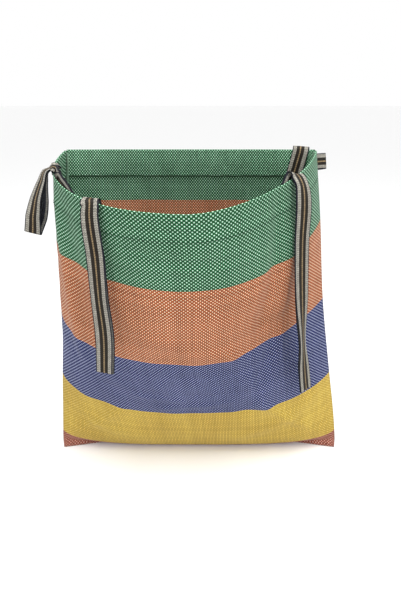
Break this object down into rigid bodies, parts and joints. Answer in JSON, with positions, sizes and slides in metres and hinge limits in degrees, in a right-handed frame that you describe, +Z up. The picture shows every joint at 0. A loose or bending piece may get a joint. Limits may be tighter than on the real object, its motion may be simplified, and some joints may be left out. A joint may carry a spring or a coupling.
{
  "type": "sack race bag",
  "caption": "Open-topped two-panel sack of striped woven cloth with hemmed rim, side seams and doubled webbing loops over the rim that lift as handles.",
  "frame": {"origin": "on the floor, midway between the bottom corners of the sack", "axes": "+Z up, +X to the sack's right as seen from the front, +Y from the front panel to the back panel"},
  "size_m": [0.5072, 0.2449, 0.538],
  "materials": {
    "woven_cloth": "two-colour plain weave in broad stripes of green, orange, blue, yellow and rust with white",
    "seam_edge": "pale overlocked cloth edge",
    "thread": "matte sewing thread",
    "webbing": "ribbed webbing striped grey, black and beige"
  },
  "bodies": {
    "sack": {"front_panel": "woven_cloth", "back_panel": "woven_cloth", "left_side_seam": "seam_edge", "right_side_seam": "seam_edge", "bottom_seam": "seam_edge", "front_hem": "woven_cloth", "back_hem": "woven_cloth", "front_hem_stitching": "thread", "back_hem_stitching": "thread", "left_strap_run": "webbing", "left_bar_tack": "thread", "front_left_strap_run": "webbing", "front_left_bar_tack": "thread", "front_right_strap_run": "webbing", "front_right_bar_tack": "thread", "back_right_strap_run": "webbing", "back_right_bar_tack": "thread"},
    "left_strap": {"left_strap_tail": "webbing"},
    "front_left_strap": {"front_left_strap_tail": "webbing"},
    "front_right_strap": {"front_right_strap_tail": "webbing"},
    "back_right_strap": {"back_right_strap_tail": "webbing"}
  },
  "joints": [
    {"name": "left_strap_swing", "type": "hinge", "parent": "sack", "child": "left_strap", "pos_m": [-0.22407, -0.01186, 0.50286], "axis": [-0.1326, 0.9912, 0], "range_deg": [0, 150]},
    {"name": "front_left_strap_swing", "type": "hinge", "parent": "sack", "child": "front_left_strap", "pos_m": [-0.1538, -0.10278, 0.47332], "axis": [-0.8583, 0.5131, 0], "range_deg": [0, 170]},
    {"name": "front_right_strap_swing", "type": "hinge", "parent": "sack", "child": "front_right_strap", "pos_m": [0.14347, -0.04527, 0.49295], "axis": [-0.5983, -0.8013, 0], "range_deg": [0, 170]},
    {"name": "back_right_strap_swing", "type": "hinge", "parent": "sack", "child": "back_right_strap", "pos_m": [0.16338, 0.07967, 0.52538], "axis": [0.9506, -0.3104, 0], "range_deg": [-20, 20]}
  ]
}
